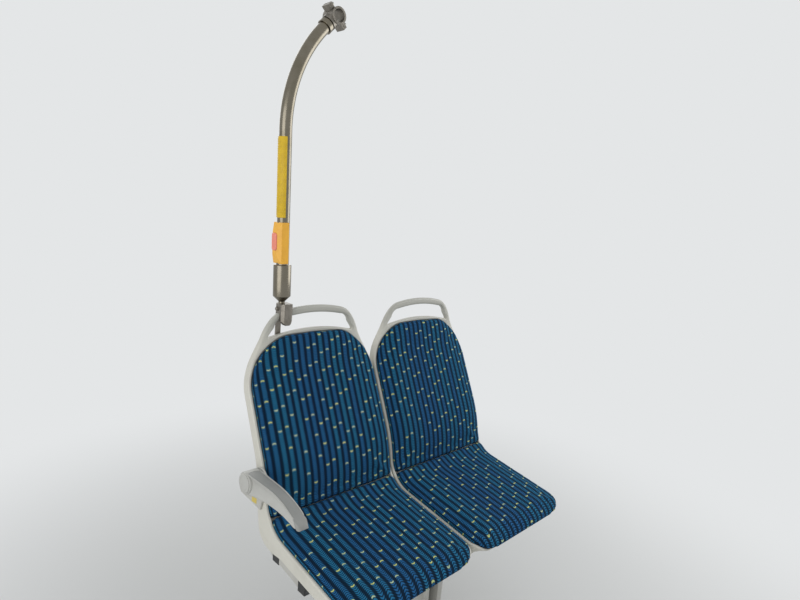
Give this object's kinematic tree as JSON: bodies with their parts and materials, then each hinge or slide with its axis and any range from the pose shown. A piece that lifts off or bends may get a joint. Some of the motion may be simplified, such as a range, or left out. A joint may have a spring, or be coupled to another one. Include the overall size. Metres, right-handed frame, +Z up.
{
  "type": "twin passenger seat with grab pole",
  "caption": "Twin moulded bus seat on a floor pedestal and wall bracket, with cloth pads, handle slots, a folding aisle armrest and a grab pole with a stop button that rises to a ceiling rail clamp.",
  "frame": {"origin": "on the floor, at the centre of the pedestal's four floor bolts", "axes": "+X from the aisle to the window wall, +Y from the front of the seats to their back, +Z up; a passenger faces -Y"},
  "size_m": [0.9785, 0.5661, 1.8655],
  "materials": {
    "shell_plastic": "fine-grained light warm grey moulding",
    "seat_cloth": "navy moquette with blue chevron columns and yellow-green flecks",
    "rail_paint": "light grey powder coat",
    "frame_paint": "dark grey powder coat",
    "black_rubber": "moulded, matt",
    "black_plastic": "moulded, matt",
    "arm_plastic": "mid grey soft-touch moulding",
    "clamp_casting": "die-cast, satin",
    "pole_steel": "stainless tube, brushed round its axis",
    "pin_steel": "zinc-plated",
    "grip_yellow": "signal yellow, ribbed",
    "box_amber": "moulded, satin gloss",
    "button_red": "moulded, satin gloss"
  },
  "bodies": {
    "root": {"aisle_shell": "shell_plastic", "window_shell": "shell_plastic", "aisle_seat_pad": "seat_cloth", "window_seat_pad": "seat_cloth", "aisle_back_pad": "seat_cloth", "window_back_pad": "seat_cloth", "seat_rails": "rail_paint", "rubber_blocks": "black_rubber", "front_cross_tube": "frame_paint", "rear_cross_tube": "frame_paint", "tube_caps": "black_plastic", "wall_bracket": "frame_paint", "left_leg": "rail_paint", "right_leg": "rail_paint", "armrest_bracket": "rail_paint", "armrest_pin": "pin_steel", "handle_clamp": "clamp_casting", "clamp_jaw": "clamp_casting", "pole_sleeve": "pole_steel", "pole_tube": "pole_steel", "grip_insert": "grip_yellow", "stop_box": "box_amber", "stop_button": "button_red", "pole_collar": "pole_steel", "rail_clamp": "clamp_casting", "rail_clamp_cap": "clamp_casting"},
    "armrest": {"armrest_arm": "arm_plastic", "armrest_pad": "arm_plastic", "armrest_cap": "arm_plastic"}
  },
  "joints": [
    {"name": "armrest_fold", "type": "hinge", "parent": "root", "child": "armrest", "pos_m": [-0.4895, 0.122, 0.593], "axis": [-1, 0, 0], "range_deg": [0, 96]}
  ]
}
